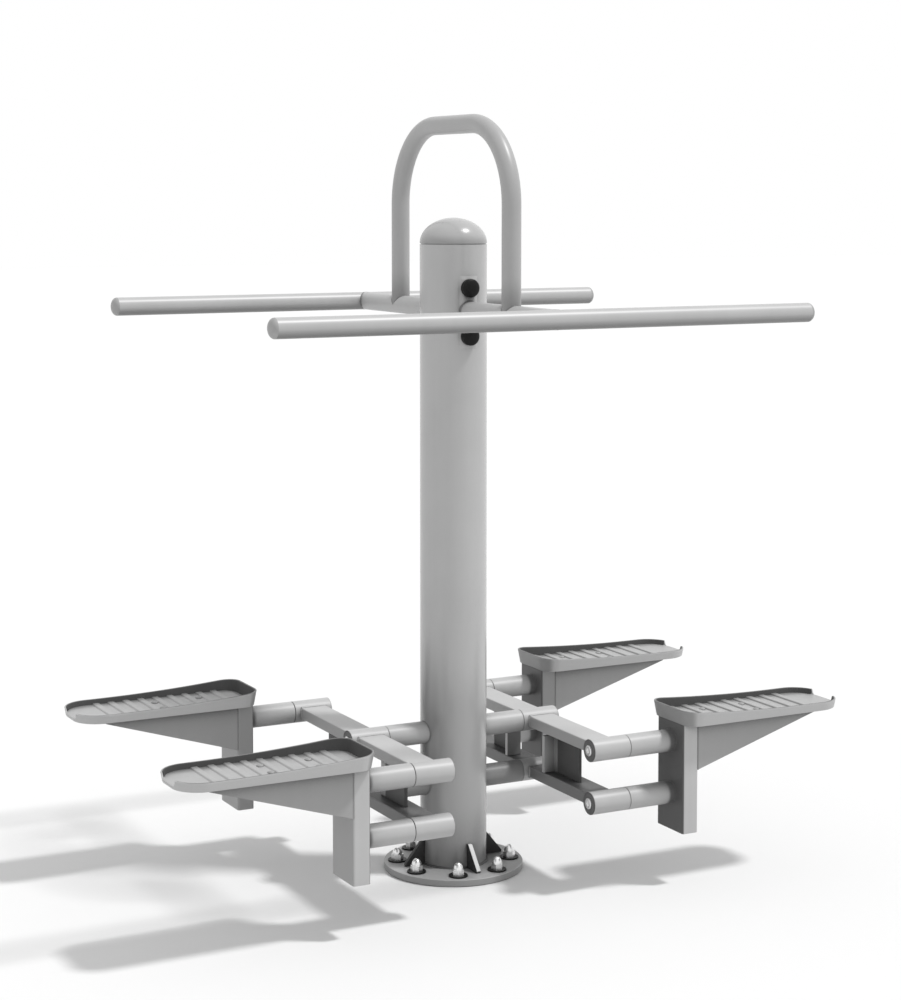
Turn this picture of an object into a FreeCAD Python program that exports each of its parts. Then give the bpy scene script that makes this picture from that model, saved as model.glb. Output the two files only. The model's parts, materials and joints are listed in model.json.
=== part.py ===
import FreeCAD, Part
import os
import re

import Sketcher

# Outdoor stepper: a bolted post carries a handle frame and two see-saw pedal linkages.
# Millimetres. +X runs along the handlebars, +Y towards the rear pedals, +Z up.
# The origin is the centre of the base flange's underside, on the ground.
# Linkage pieces are drawn for the right side, with X outwards. The left side is the same,
# turned half round.

# Driving sizes
SIZES = {
    # Post, cap, flange and anchors
    "post_diameter": 114.3,
    "post_wall": 4.5,
    "post_top": 1076.0,
    "cap_height": 43.0,
    "cap_wall": 4.0,
    "cap_neck": 2.0,
    "cap_neck_step": 1.5,
    "cap_spigot_length": 22.0,
    "cap_clearance": 0.2,
    "flange_diameter": 240.0,
    "flange_thickness": 12.0,
    "anchor_circle": 194.0,
    "anchor_hole": 14.0,
    "anchor_count": 8,
    "anchor_thread": 12.0,
    "washer_diameter": 32.0,
    "washer_thickness": 2.5,
    "washer_clearance": 1.0,
    "nut_flats": 18.0,
    "nut_hex_height": 9.0,
    "nut_dome_height": 12.0,
    "nut_dome_step": 0.5,
    "nut_bore_depth": 15.0,
    "rib_plate_count": 4,
    "rib_plate_reach": 36.0,
    "rib_plate_height": 42.0,
    "rib_plate_thickness": 8.0,
    "rib_plate_toe": 5.0,
    # Handle frame
    "bar_diameter": 32.0,
    "bar_wall": 2.6,
    "bar_length": 976.0,
    "bar_spacing": 707.0,
    "bar_drop": 111.0,
    "plug_crown": 10.0,
    "plug_spigot_length": 25.0,
    "handle_spread": 407.0,
    "handle_rise": 313.0,
    "handle_bend": 135.0,
    "saddle_width": 34.0,
    "saddle_height": 122.0,
    "saddle_thickness": 2.0,
    "clamp_pitch": 81.0,
    "clamp_drop": 2.0,
    "clamp_thread": 10.0,
    "clamp_head_flats": 16.0,
    "clamp_head_height": 6.0,
    "clamp_nut_height": 6.0,
    "clamp_cap_diameter": 31.0,
    "clamp_cap_wall": 2.0,
    "clamp_cap_crown": 5.0,
    # Pivots shared by both linkages
    "lower_pivot_height": 152.0,
    "pivot_spacing": 89.0,
    "pivot_reach": 238.5,
    "travel_angle": 15.0,
    "pivot_tube_diameter": 38.0,
    "pivot_tube_bore": 30.0,
    "sleeve_reach": 129.7,
    "rocker_width": 70.0,
    "running_gap": 0.3,
    "running_clearance": 0.05,
    "bush_flange_diameter": 35.0,
    "bush_flange_thickness": 2.0,
    "bush_length": 22.0,
    "shank_diameter": 16.0,
    "bolt_grip": 50.0,
    "bolt_head_diameter": 18.0,
    "bolt_head_height": 3.0,
    "bolt_head_chamfer": 1.0,
    "socket_flats": 8.0,
    "socket_depth": 2.0,
    # Rocker arms and stops
    "arm_width": 48.0,
    "arm_thickness": 20.0,
    "arm_corner": 2.5,
    "stop_start": 62.0,
    "stop_end": 151.0,
    "stop_plate": 8.0,
    "stop_web": 6.0,
    "stop_clearance": 0.3,
    "plate_step": 1.0,
    "buffer_width": 10.0,
    "buffer_length": 60.0,
    "buffer_thickness": 3.0,
    # Pedals
    "stub_length": 89.1,
    "bracket_depth": 30.0,
    "bracket_width": 80.0,
    "bracket_wall": 3.0,
    "bracket_corner": 4.0,
    "bracket_bore_corner": 1.0,
    "bracket_drop": 63.5,
    "bracket_foot": 4.0,
    "tread_rise": 33.0,
    "gusset_drop": 78.5,
    "gusset_tip": 6.0,
    "gusset_sheet": 4.0,
    "gusset_setback": 55.0,
    "toe_overhang": 6.0,
    "tread_length": 329.0,
    "tread_width": 132.0,
    "tread_floor": 6.0,
    "toe_corner": 32.0,
    "heel_corner": 50.0,
    "rim_thickness": 3.0,
    "rim_draft": 5.0,
    "rim_toe_height": 26.5,
    "rim_heel_height": 15.5,
    "rim_fall_length": 215.0,
    "heel_gap": 54.0,
    "heel_plain": 66.0,
    "rib_first": 44.0,
    "rib_pitch": 27.0,
    "rib_width": 13.0,
    "rib_height": 4.0,
    "rib_margin": 3.0,
    "screw_diameter": 8.0,
    "screw_head_diameter": 12.0,
    "screw_head_height": 3.5,
    "screw_tail": 3.0,
    "screw_spread": 44.0,
    "screw_first_gap": 1.5,
    "screw_gaps_between": 3,
}

# Sizes and places that follow from the driving ones
DERIVED = {
    "post_radius": "post_diameter / 2",
    "post_bore": "post_radius - post_wall",
    "cap_seat": "post_top + cap_neck",
    "spigot_radius": "post_bore - cap_clearance",
    "cap_hollow": "spigot_radius - cap_wall",
    "anchor_radius": "anchor_circle / 2",
    "nut_seat": "flange_thickness + washer_thickness",
    "nut_corner": "nut_flats / sqrt(3)",
    "bar_radius": "bar_diameter / 2",
    "bar_bore": "bar_radius - bar_wall",
    "bar_height": "post_top - bar_drop",
    "bar_place": "bar_spacing / 2",
    "plug_place": "bar_length / 2 - plug_crown",
    "leg_place": "handle_spread / 2",
    "handle_top": "bar_height + handle_rise",
    "saddle_radius": "post_radius + saddle_thickness",
    "clamp_radius": "clamp_thread / 2",
    "clamp_corner": "clamp_head_flats / sqrt(3)",
    "clamp_cap_radius": "clamp_cap_diameter / 2",
    "clamp_cap_hollow": "clamp_cap_radius - clamp_cap_wall",
    "clamp_cap_skirt": "saddle_radius + clamp_nut_height",
    "clamp_middle": "bar_height - clamp_drop",
    "upper_pivot_height": "lower_pivot_height + pivot_spacing",
    "pivot_tube_radius": "pivot_tube_diameter / 2",
    "shank_radius": "shank_diameter / 2",
    "rocker_inner": "sleeve_reach + running_gap",
    "rocker_outer": "rocker_inner + rocker_width",
    "arm_centre": "rocker_inner + rocker_width / 2",
    "travel_squeeze": "pivot_spacing * (1 - cos(travel_angle))",
    "stop_foot": "lower_pivot_height + arm_thickness / 2",
    "buffer_top": "upper_pivot_height - arm_thickness / 2 - travel_squeeze - stop_clearance",
    "stop_top": "buffer_top - buffer_thickness",
    "stub_start": "rocker_outer + running_gap",
    "bracket_inner": "stub_start + stub_length",
    "bracket_outer": "bracket_inner + bracket_depth",
    "bracket_half": "bracket_width / 2",
    "bracket_bottom": "lower_pivot_height - bracket_drop",
    "tread_underside": "upper_pivot_height + tread_rise",
    "tread_toe": "bracket_inner - toe_overhang",
    "tread_heel": "tread_toe + tread_length",
    "tread_half": "tread_width / 2",
    "floor_top": "tread_underside + tread_floor",
    "rim_top": "tread_underside + rim_toe_height",
    "floor_inset": "rim_thickness + rim_draft * (1 - tread_floor / rim_toe_height)",
    "gusset_end": "tread_heel - gusset_setback",
    "gusset_slope": "(gusset_drop - gusset_tip) / (gusset_end - bracket_outer)",
    "gusset_lift": "gusset_sheet * sqrt(1 + gusset_slope * gusset_slope)",
    "gusset_hollow": "(gusset_drop - gusset_sheet - gusset_lift) / gusset_slope",
    "rib_half": "tread_half - floor_inset - rib_margin",
    "rib_count": "floor((tread_length - rib_first - heel_plain) / rib_pitch) + 1",
    "toe_screws": "tread_toe + rib_first + rib_pitch * screw_first_gap",
    "heel_screws": "toe_screws + rib_pitch * screw_gaps_between",
}

HALF_TURN = {"left": 180, "right": 0}
PEDAL_PLACE = {"front": "-pivot_reach", "rear": "pivot_reach"}
PIVOT_PLACES = ("-pivot_reach", "0", "pivot_reach")
LEVELS = {"upper": "upper_pivot_height", "lower": "lower_pivot_height"}

UP = FreeCAD.Vector(0, 0, 1)
AIM = {
    "x": FreeCAD.Rotation(FreeCAD.Vector(0, 1, 0), 90),
    "-x": FreeCAD.Rotation(FreeCAD.Vector(0, 1, 0), -90),
    "y": FreeCAD.Rotation(FreeCAD.Vector(1, 0, 0), -90),
    "-y": FreeCAD.Rotation(FreeCAD.Vector(1, 0, 0), 90),
    "z": FreeCAD.Rotation(),
    "front bend": FreeCAD.Rotation(FreeCAD.Vector(1, 0, 1), 180),
    "rear bend": FreeCAD.Rotation(FreeCAD.Vector(1, 1, 1), 120),
}

doc = FreeCAD.newDocument("outdoor_stepper")
sheet = doc.addObject("Spreadsheet::Sheet", "Sizes")
for row, (word, value) in enumerate(SIZES.items(), start=1):
    sheet.set(f"A{row}", str(value))
    sheet.setAlias(f"A{row}", word)
doc.recompute()

pieces = []


def formula(text):
    """A formula in plain words, spelled as an expression on the sheet's cells."""

    def cell(match):
        word = match.group()
        if word in SIZES:
            return f"Sizes.{word}"
        if word in DERIVED:
            return f"({formula(DERIVED[word])})"
        return word

    return re.sub(r"[a-z][a-z_]*", cell, text)


def number(text):
    """The present value of a formula."""
    found = sheet.evalExpression(formula(text))
    return float(getattr(found, "Value", found))


def bind(item, prop, text):
    item.setExpression(prop, formula(text))


def place(item, aim, start):
    """Point an item's own Z along aim and put its origin at the start point."""
    item.Placement = FreeCAD.Placement(FreeCAD.Vector(), AIM[aim])
    for letter, text in zip("xyz", start):
        bind(item, f"Placement.Base.{letter}", text)


def turn(item, angle):
    """Turn an item about the post's axis."""
    item.Placement = FreeCAD.Placement(FreeCAD.Vector(), FreeCAD.Rotation(UP, angle))


def seat(item, side, end=None):
    """Put a linkage piece on its side, and at its pedal's pivot where it belongs to a pedal."""
    turn(item, HALF_TURN[side])
    if end:
        bind(item, "Placement.Base.y", PEDAL_PLACE[end])


def keep(label, item):
    """Name a finished piece and list it for the files."""
    item.Label = label
    pieces.append(item)
    return item


# Solids with bound sizes


def cylinder(aim, start, radius, length):
    item = doc.addObject("Part::Cylinder", "round")
    bind(item, "Radius", radius)
    bind(item, "Height", length)
    place(item, aim, start)
    return item


def cone(aim, start, radius, tip_radius, length):
    item = doc.addObject("Part::Cone", "taper")
    bind(item, "Radius1", radius)
    bind(item, "Radius2", tip_radius)
    bind(item, "Height", length)
    place(item, aim, start)
    return item


def hexagon(aim, start, corner, length):
    item = doc.addObject("Part::Prism", "hexagon")
    item.Polygon = 6
    bind(item, "Circumradius", corner)
    bind(item, "Height", length)
    place(item, aim, start)
    return item


def dome(aim, start, radius, height):
    """Half of an ellipsoid, bulging along aim."""
    item = doc.addObject("Part::Ellipsoid", "dome")
    item.Angle1 = 0
    bind(item, "Radius1", height)
    bind(item, "Radius2", radius)
    bind(item, "Radius3", radius)
    place(item, aim, start)
    return item


def block(start, size):
    item = doc.addObject("Part::Box", "block")
    for prop, text in zip(("Length", "Width", "Height"), size):
        bind(item, prop, text)
    place(item, "z", start)
    return item


def cut(base, *tools):
    for tool in tools:
        item = doc.addObject("Part::Cut", "cut")
        item.Base = base
        item.Tool = tool
        base = item
    return base


def fuse(*items):
    item = doc.addObject("Part::MultiFuse", "joined")
    item.Shapes = list(items)
    return item


def group(items):
    item = doc.addObject("Part::Compound", "group")
    item.Links = list(items)
    return item


def tube(aim, start, radius, bore, length):
    return cut(cylinder(aim, start, radius, length), cylinder(aim, start, bore, length))


def elbow(aim, centre, bend, radius, bore):
    """Hollow quarter ring in the YZ plane, from straight out to straight up."""
    rings = []
    for section in (radius, bore):
        item = doc.addObject("Part::Torus", "ring")
        item.Angle3 = 90
        bind(item, "Radius1", bend)
        bind(item, "Radius2", section)
        place(item, aim, centre)
        rings.append(item)
    return cut(*rings)


# Bodies, sketches and features


def new_body():
    return doc.addObject("PartDesign::Body", "body")


def origin_feature(body, role):
    return [item for item in body.Origin.OriginFeatures if item.Role == role][0]


def sketch_on(body, plane, offset):
    sketch = body.newObject("Sketcher::SketchObject", "outline")
    sketch.AttachmentSupport = (origin_feature(body, plane), [""])
    sketch.MapMode = "FlatFace"
    bind(sketch, "AttachmentOffset.Base.z", offset)
    return sketch


def fix_point(sketch, shape, end, x, y):
    """Hold one end of a sketch line or arc at its formulas."""
    for kind, text in (("DistanceX", x), ("DistanceY", y)):
        index = sketch.addConstraint(Sketcher.Constraint(kind, -1, 1, shape, end, number(text)))
        bind(sketch, f"Constraints[{index}]", text)


def fix_radius(sketch, shape, radius):
    index = sketch.addConstraint(Sketcher.Constraint("Radius", shape, number(radius)))
    bind(sketch, f"Constraints[{index}]", radius)


def point(x, y):
    return FreeCAD.Vector(number(x), number(y), 0)


def draw_line(sketch, start, end):
    line = sketch.addGeometry(Part.LineSegment(point(*start), point(*end)), False)
    fix_point(sketch, line, 1, *start)
    return line


def join(sketch, first, first_end, second, second_end):
    sketch.addConstraint(Sketcher.Constraint("Coincident", first, first_end, second, second_end))


def draw_circle(sketch, x, y, radius):
    shape = Part.Circle(point(x, y), UP, number(radius))
    circle = sketch.addGeometry(shape, False)
    fix_point(sketch, circle, 3, x, y)
    fix_radius(sketch, circle, radius)


def draw_polygon(sketch, corners):
    lines = [draw_line(sketch, here, after) for here, after in zip(corners, corners[1:] + corners[:1])]
    for line, after in zip(lines, lines[1:] + lines[:1]):
        join(sketch, line, 2, after, 1)


def draw_corner(sketch, before, after, start, middle, end, radius):
    """Anticlockwise arc from the end of one line, past a middle point, to the start of the next."""
    arc = sketch.addGeometry(Part.Arc(point(*start), point(*middle), point(*end)), False)
    join(sketch, before, 2, arc, 1)
    join(sketch, arc, 2, after, 1)
    fix_radius(sketch, arc, radius)


def draw_rounded(sketch, low, high, low_corner, high_corner):
    """Rectangle from low to high, with one corner radius at its low X end and one at its high X end."""
    (x_low, y_low), (x_high, y_high) = low, high
    inset = "(1 - sqrt(0.5))"
    runs = []
    turns = []
    for x, y, radius, x_way, y_way in (
        (x_high, y_low, high_corner, -1, 1),
        (x_high, y_high, high_corner, -1, -1),
        (x_low, y_high, low_corner, 1, -1),
        (x_low, y_low, low_corner, 1, 1),
    ):
        along_x = (f"{x} + {x_way} * ({radius})", y)
        along_y = (x, f"{y} + {y_way} * ({radius})")
        middle = (f"{x} + {x_way} * {inset} * ({radius})", f"{y} + {y_way} * {inset} * ({radius})")
        first, last = (along_x, along_y) if x_way * y_way < 0 else (along_y, along_x)
        turns.append((first, middle, last, radius))
    for corner, (first, _, _, _) in enumerate(turns):
        before = turns[corner - 1][2]
        line = draw_line(sketch, before, first)
        fix_point(sketch, line, 2, *first)
        runs.append(line)
    for corner, (first, middle, last, radius) in enumerate(turns):
        after = runs[(corner + 1) % len(runs)]
        draw_corner(sketch, runs[corner], after, first, middle, last, radius)


def finish(body, feature):
    body.Tip = feature
    return feature


def pad(body, sketch, length):
    feature = body.newObject("PartDesign::Pad", "pad")
    feature.Profile = sketch
    bind(feature, "Length", length)
    return finish(body, feature)


def pocket(body, sketch, length, upwards=False):
    feature = body.newObject("PartDesign::Pocket", "pocket")
    feature.Profile = sketch
    feature.Reversed = upwards
    bind(feature, "Length", length)
    return finish(body, feature)


def loft(body, kind, first, last):
    feature = body.newObject(f"PartDesign::{kind}Loft", "loft")
    feature.Profile = first
    feature.Sections = [last]
    feature.Ruled = True
    return finish(body, feature)


# Post, cap, flange and anchors


def post_tube():
    length = "post_top - flange_thickness"
    item = tube("z", ("0", "0", "flange_thickness"), "post_radius", "post_bore", length)
    for height in LEVELS.values():
        start = ("-sleeve_reach", "0", height)
        item = cut(item, cylinder("x", start, "pivot_tube_radius", "sleeve_reach * 2"))
    for way in (-1, 1):
        start = ("0", "-saddle_radius", f"clamp_middle + {way} * clamp_pitch / 2")
        item = cut(item, cylinder("y", start, "clamp_radius", "saddle_radius * 2"))
    keep("post_tube", item)


def post_cap():
    spigot_end = ("0", "0", "post_top - cap_spigot_length")
    shell = fuse(
        dome("z", ("0", "0", "cap_seat"), "post_radius", "cap_height"),
        cylinder("z", ("0", "0", "post_top"), "post_radius - cap_neck_step", "cap_neck"),
        cylinder("z", spigot_end, "spigot_radius", "cap_spigot_length"),
    )
    hollow = fuse(
        cylinder("z", spigot_end, "cap_hollow", "cap_spigot_length + cap_neck"),
        dome("z", ("0", "0", "cap_seat"), "cap_hollow", "cap_height - cap_wall"),
    )
    keep("post_cap", cut(shell, hollow))


def base_flange():
    body = new_body()
    disc = sketch_on(body, "XY_Plane", "0")
    draw_circle(disc, "0", "0", "flange_diameter / 2")
    pad(body, disc, "flange_thickness")
    hole = sketch_on(body, "XY_Plane", "flange_thickness")
    x = "anchor_radius * cos(180 / anchor_count)"
    y = "anchor_radius * sin(180 / anchor_count)"
    draw_circle(hole, x, y, "anchor_hole / 2")
    bored = pocket(body, hole, "flange_thickness")
    ring = body.newObject("PartDesign::PolarPattern", "ring")
    ring.Originals = [bored]
    ring.Axis = (origin_feature(body, "Z_Axis"), [""])
    ring.Angle = 360
    bind(ring, "Occurrences", "anchor_count")
    finish(body, ring)
    keep("base_flange", body)


def base_gussets():
    """Triangular plates from the post to the flange, coped to the post."""
    plates = []
    count = round(number("rib_plate_count"))
    for index in range(count):
        body = new_body()
        side_view = sketch_on(body, "XZ_Plane", "-rib_plate_thickness / 2")
        top = "flange_thickness + rib_plate_height"
        toe = "flange_thickness + rib_plate_toe"
        draw_polygon(
            side_view,
            [
                ("post_bore", "flange_thickness"),
                ("post_radius + rib_plate_reach", "flange_thickness"),
                ("post_radius + rib_plate_reach", toe),
                ("post_radius + rib_plate_toe", top),
                ("post_bore", top),
            ],
        )
        pad(body, side_view, "rib_plate_thickness")
        plate = cut(body, cylinder("z", ("0", "0", "0"), "post_radius", "post_top"))
        turn(plate, 360 / count * index)
        plates.append(plate)
    keep("base_gussets", group(plates))


def anchor_hardware():
    """A washer and a domed nut over each flange hole."""
    washers = []
    nuts = []
    count = round(number("anchor_count"))
    for index in range(count):
        washer = tube(
            "z",
            ("anchor_radius", "0", "flange_thickness"),
            "washer_diameter / 2",
            "(anchor_thread + washer_clearance) / 2",
            "washer_thickness",
        )
        solid_nut = fuse(
            hexagon("z", ("anchor_radius", "0", "nut_seat"), "nut_corner", "nut_hex_height"),
            dome(
                "z",
                ("anchor_radius", "0", "nut_seat + nut_hex_height"),
                "nut_flats / 2 - nut_dome_step",
                "nut_dome_height",
            ),
        )
        bore = cylinder("z", ("anchor_radius", "0", "nut_seat"), "anchor_thread / 2", "nut_bore_depth")
        nut = cut(solid_nut, bore)
        for item in (washer, nut):
            turn(item, 360 / count * (index + 0.5))
        washers.append(washer)
        nuts.append(nut)
    keep("anchor_washers", group(washers))
    keep("anchor_nuts", group(nuts))


# Handle frame


def handlebars():
    plugs = []
    for name, place_y in (("front", "-bar_place"), ("rear", "bar_place")):
        start = ("-plug_place", place_y, "bar_height")
        keep(f"{name}_handlebar", tube("x", start, "bar_radius", "bar_bore", "plug_place * 2"))
        for aim, way in (("x", 1), ("-x", -1)):
            shoulder = (f"{way} * plug_place", place_y, "bar_height")
            spigot_start = (f"{way} * (plug_place - plug_spigot_length)", place_y, "bar_height")
            crown = dome(aim, shoulder, "bar_radius", "plug_crown")
            plugs.append(fuse(crown, cylinder(aim, spigot_start, "bar_bore", "plug_spigot_length")))
    keep("bar_end_plugs", group(plugs))


def bar_arms():
    """Tubes from the saddles to the handlebars, coped at both ends, and the saddles on the post."""
    for name, aim, way in (("front", "-y", -1), ("rear", "y", 1)):
        arm_start = ("0", f"{way} * post_radius", "bar_height")
        bar_start = ("-bar_length / 2", f"{way} * bar_place", "bar_height")
        arm = tube(aim, arm_start, "bar_radius", "bar_bore", "bar_place - post_radius")
        bar = cylinder("x", bar_start, "bar_radius", "bar_length")
        saddle_round = cylinder("z", ("0", "0", "0"), "saddle_radius", "post_top")
        keep(f"{name}_arm", cut(arm, bar, saddle_round))
        saddle_foot = "clamp_middle - saddle_height / 2"
        ring = tube("z", ("0", "0", saddle_foot), "saddle_radius", "post_radius", "saddle_height")
        outline = block(
            ("-saddle_width / 2", f"({way} - 1) / 2 * saddle_radius", saddle_foot),
            ("saddle_width", "saddle_radius", "saddle_height"),
        )
        saddle = doc.addObject("Part::Common", "saddle")
        saddle.Base = ring
        saddle.Tool = outline
        for bolt in (-1, 1):
            start = ("0", "-saddle_radius", f"clamp_middle + {bolt} * clamp_pitch / 2")
            saddle = cut(saddle, cylinder("y", start, "clamp_radius", "saddle_radius * 2"))
        keep(f"{name}_saddle", saddle)


def clamp_hardware():
    """Bolts through saddles and post, their nuts, and a hollow cap over each end."""
    bolts = []
    nuts = []
    caps = []
    for level in (-1, 1):
        height = f"clamp_middle + {level} * clamp_pitch / 2"
        front_seat = ("0", "-saddle_radius", height)
        rear_seat = ("0", "saddle_radius", height)
        head = hexagon("-y", front_seat, "clamp_corner", "clamp_head_height")
        shank = cylinder("y", front_seat, "clamp_radius", "saddle_radius * 2 + clamp_nut_height")
        bolts.append(fuse(head, shank))
        blank = hexagon("y", rear_seat, "clamp_corner", "clamp_nut_height")
        nuts.append(cut(blank, cylinder("y", rear_seat, "clamp_radius", "clamp_nut_height")))
        for aim, way in (("-y", -1), ("y", 1)):
            start = ("0", f"{way} * post_radius", height)
            shoulder = ("0", f"{way} * clamp_cap_skirt", height)
            straight = "clamp_cap_skirt - post_radius"
            outside = fuse(
                cylinder(aim, start, "clamp_cap_radius", straight),
                dome(aim, shoulder, "clamp_cap_radius", "clamp_cap_crown"),
            )
            hollow = fuse(
                cylinder(aim, start, "clamp_cap_hollow", straight),
                dome(aim, shoulder, "clamp_cap_hollow", "clamp_cap_crown - clamp_cap_wall"),
            )
            saddle_round = cylinder("z", ("0", "0", "0"), "saddle_radius", "post_top")
            caps.append(cut(outside, hollow, saddle_round))
    keep("clamp_bolts", group(bolts))
    keep("clamp_nuts", group(nuts))
    keep("clamp_caps", group(caps))


def u_handle():
    """Bent tube in the plane of the arms: a straight top, two bends, and two legs coped onto the arms."""
    top_end = "(leg_place - handle_bend)"
    shoulder = "(handle_top - handle_bend)"
    arms = cylinder("y", ("0", "-bar_place", "bar_height"), "bar_radius", "bar_spacing")
    lengths = [tube("y", ("0", f"-{top_end}", "handle_top"), "bar_radius", "bar_bore", f"{top_end} * 2")]
    for aim, way in (("front bend", -1), ("rear bend", 1)):
        centre = ("0", f"{way} * {top_end}", shoulder)
        lengths.append(elbow(aim, centre, "handle_bend", "bar_radius", "bar_bore"))
        foot = ("0", f"{way} * leg_place", "bar_height")
        lengths.append(cut(tube("z", foot, "bar_radius", "bar_bore", f"{shoulder} - bar_height"), arms))
    keep("u_handle", group(lengths))


# Pivots


def shoulder_bolt(facing, head_seat, tip, y, z):
    """Pivot pin with a chamfered socket head. Its head faces along facing, its shank ends at tip."""
    way = 1 if facing == "x" else -1
    radius = "bolt_head_diameter / 2"
    straight = "(bolt_head_height - bolt_head_chamfer)"
    chamfer_start = (f"{head_seat} + {way} * {straight}", y, z)
    socket_start = (f"{head_seat} + {way} * (bolt_head_height - socket_depth)", y, z)
    solid = fuse(
        cylinder(facing, (tip, y, z), "shank_radius", f"{way} * ({head_seat} - ({tip}))"),
        cylinder(facing, (head_seat, y, z), radius, straight),
        cone(facing, chamfer_start, radius, f"{radius} - bolt_head_chamfer", "bolt_head_chamfer"),
    )
    return cut(solid, hexagon(facing, socket_start, "socket_flats / sqrt(3)", "socket_depth"))


def cross_sleeves():
    """Thick tubes through the post, and the axle bolts in their ends that the rockers turn on."""
    axles = []
    for level, height in LEVELS.items():
        start = ("-sleeve_reach", "0", height)
        sleeve = tube("x", start, "pivot_tube_radius", "shank_radius", "sleeve_reach * 2")
        keep(f"{level}_cross_sleeve", sleeve)
        tip = "sleeve_reach - bolt_grip"
        for side in HALF_TURN:
            axle = shoulder_bolt("x", "rocker_outer + running_gap", tip, "0", height)
            seat(axle, side)
            axles.append(axle)
    keep("axle_bolts", group(axles))


# Rockers


def rocker_arms(height):
    """Two flat bars from the middle pivot tube to the end ones, coped to the tubes."""
    bars = []
    for sketch_offset, end in (("0", "-pivot_reach"), ("-pivot_reach", "pivot_reach")):
        body = new_body()
        section = sketch_on(body, "XZ_Plane", sketch_offset)
        draw_rounded(
            section,
            ("arm_centre - arm_width / 2", f"{height} - arm_thickness / 2"),
            ("arm_centre + arm_width / 2", f"{height} + arm_thickness / 2"),
            "arm_corner",
            "arm_corner",
        )
        pad(body, section, "pivot_reach")
        bar = body
        for y in ("0", end):
            bar = cut(bar, cylinder("x", ("0", y, height), "pivot_tube_radius", "rocker_outer"))
        bars.append(bar)
    return group(bars)


def pivot_tubes(height):
    """Three tubes across the arms, counterbored at both ends for the bush flanges."""
    tubes = []
    for y in PIVOT_PLACES:
        start = ("rocker_inner", y, height)
        item = tube("x", start, "pivot_tube_radius", "pivot_tube_bore / 2", "rocker_width")
        for aim, end in (("x", "rocker_inner"), ("-x", "rocker_outer")):
            mouth = (end, y, height)
            item = cut(item, cylinder(aim, mouth, "bush_flange_diameter / 2", "bush_flange_thickness"))
        tubes.append(item)
    return group(tubes)


def flanged_bushes(height):
    """Two bushes in each pivot tube, their flanges flush with its ends."""
    bushes = []
    bore = "shank_radius + running_clearance"
    for y in PIVOT_PLACES:
        for aim, end in (("x", "rocker_inner"), ("-x", "rocker_outer")):
            start = (end, y, height)
            length = "bush_flange_thickness + bush_length"
            solid = fuse(
                cylinder(aim, start, "bush_flange_diameter / 2", "bush_flange_thickness"),
                cylinder(aim, start, "pivot_tube_bore / 2", length),
            )
            bushes.append(cut(solid, cylinder(aim, start, bore, length)))
    return group(bushes)


def travel_stops():
    """Angle plates on the lower arms, and a rubber buffer on each web that ends the travel."""
    stops = []
    buffers = []
    web_length = "(stop_end - stop_start - stop_plate)"
    for way in (-1, 1):
        plate_y = f"{way} * (stop_start + stop_plate / 2) - stop_plate / 2"
        web_y = f"{way} * (stop_end - {web_length} / 2) - {web_length} / 2"
        buffer_y = f"{way} * (stop_end - {web_length} / 2) - buffer_length / 2"
        plate = block(
            ("arm_centre - arm_width / 2", plate_y, "stop_foot"),
            ("(arm_width + stop_web) / 2", "stop_plate", "buffer_top - plate_step - stop_foot"),
        )
        web = block(
            ("arm_centre - stop_web / 2", web_y, "stop_foot"),
            ("stop_web", web_length, "stop_top - stop_foot"),
        )
        buffer = block(
            ("arm_centre - buffer_width / 2", buffer_y, "stop_top"),
            ("buffer_width", "buffer_length", "buffer_thickness"),
        )
        stops.append(fuse(plate, web))
        buffers.append(buffer)
    return group(stops), group(buffers)


def rockers(side):
    for level, height in LEVELS.items():
        for name, item in (
            ("arms", rocker_arms(height)),
            ("pivot_tubes", pivot_tubes(height)),
            ("bushes", flanged_bushes(height)),
        ):
            seat(item, side)
            keep(f"{side}_{level}_{name}", item)
    for name, item in zip(("stops", "stop_buffers"), travel_stops()):
        seat(item, side)
        keep(f"{side}_{name}", item)


# Pedals


def bracket():
    """Upright rectangular tube, closed at its foot."""
    body = new_body()
    outside = sketch_on(body, "XY_Plane", "bracket_bottom")
    draw_rounded(
        outside,
        ("bracket_inner", "-bracket_half"),
        ("bracket_outer", "bracket_half"),
        "bracket_corner",
        "bracket_corner",
    )
    pad(body, outside, "tread_underside - bracket_bottom")
    inside = sketch_on(body, "XY_Plane", "tread_underside")
    draw_rounded(
        inside,
        ("bracket_inner + bracket_wall", "-bracket_half + bracket_wall"),
        ("bracket_outer - bracket_wall", "bracket_half - bracket_wall"),
        "bracket_bore_corner",
        "bracket_bore_corner",
    )
    pocket(body, inside, "tread_underside - bracket_bottom - bracket_foot")
    return body


def draw_screw_holes(sketch):
    for x in ("toe_screws", "heel_screws"):
        for way in (-1, 1):
            draw_circle(sketch, x, f"{way} * screw_spread / 2", "screw_diameter / 2")


def gusset():
    """Hollow folded wedge from the bracket to under the heel."""
    body = new_body()
    outside = sketch_on(body, "XZ_Plane", "-bracket_half")
    draw_polygon(
        outside,
        [
            ("bracket_outer", "tread_underside - gusset_drop"),
            ("gusset_end", "tread_underside - gusset_tip"),
            ("gusset_end", "tread_underside"),
            ("bracket_outer", "tread_underside"),
        ],
    )
    pad(body, outside, "bracket_width")
    inside = sketch_on(body, "XZ_Plane", "bracket_half - gusset_sheet")
    draw_polygon(
        inside,
        [
            ("bracket_outer", "tread_underside - gusset_drop + gusset_lift"),
            ("bracket_outer + gusset_hollow", "tread_underside - gusset_sheet"),
            ("bracket_outer", "tread_underside - gusset_sheet"),
        ],
    )
    pocket(body, inside, "bracket_width - 2 * gusset_sheet")
    holes = sketch_on(body, "XY_Plane", "tread_underside")
    draw_screw_holes(holes)
    pocket(body, holes, "gusset_sheet")
    return body


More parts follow.
